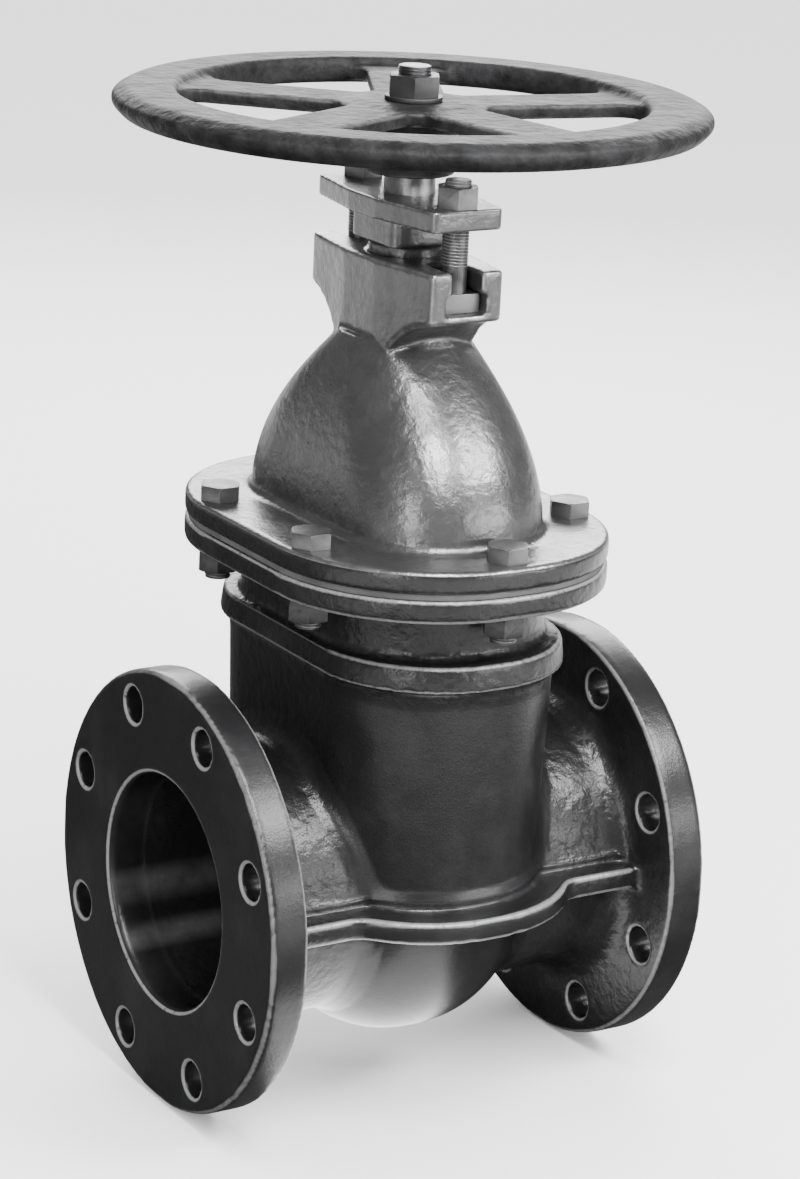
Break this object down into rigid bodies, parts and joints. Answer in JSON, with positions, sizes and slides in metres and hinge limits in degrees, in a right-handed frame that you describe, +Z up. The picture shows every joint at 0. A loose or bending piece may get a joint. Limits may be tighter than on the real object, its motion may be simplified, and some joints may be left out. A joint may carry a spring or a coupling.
{
  "type": "sluice valve",
  "caption": "Flanged cast-iron sluice valve with an oval chest, domed bonnet, bolted gland and a spoked handwheel.",
  "frame": {"origin": "centre of the inlet flange's face, on the flow axis", "axes": "+X along the flow from inlet to outlet, +Z up along the spindle, +Y across the valve"},
  "size_m": [0.372, 0.372, 0.661],
  "materials": {
    "black_paint": "gloss",
    "cast_iron": "satin",
    "wheel_iron": "satin",
    "steel": "satin",
    "fastener": "satin",
    "bronze": "satin",
    "gasket": "matte",
    "packing": "matte"
  },
  "bodies": {
    "valve": {"body": "black_paint", "bonnet_gasket": "gasket", "bonnet": "cast_iron", "gland_packing": "packing", "gland": "cast_iron", "gate": "cast_iron", "gate_nut": "bronze", "seat_ring_inlet": "bronze", "seat_ring_outlet": "bronze", "gland_bolt_front": "fastener", "gland_bolt_rear": "fastener", "gland_nut_front": "fastener", "gland_nut_rear": "fastener", "bonnet_bolt_1": "fastener", "bonnet_nut_1": "black_paint", "bonnet_bolt_2": "fastener", "bonnet_nut_2": "black_paint", "bonnet_bolt_3": "fastener", "bonnet_nut_3": "black_paint", "bonnet_bolt_4": "fastener", "bonnet_nut_4": "black_paint", "bonnet_bolt_5": "fastener", "bonnet_nut_5": "black_paint", "bonnet_bolt_6": "fastener", "bonnet_nut_6": "black_paint"},
    "wheel_and_spindle": {"spindle": "steel", "handwheel": "wheel_iron", "handwheel_washer": "steel", "handwheel_nut": "fastener"}
  },
  "joints": [
    {"name": "handwheel_turn", "type": "hinge", "parent": "valve", "child": "wheel_and_spindle", "pos_m": [0.16, 0, 0.45], "axis": [0, 0, 1], "range_deg": [0, 9480]}
  ]
}
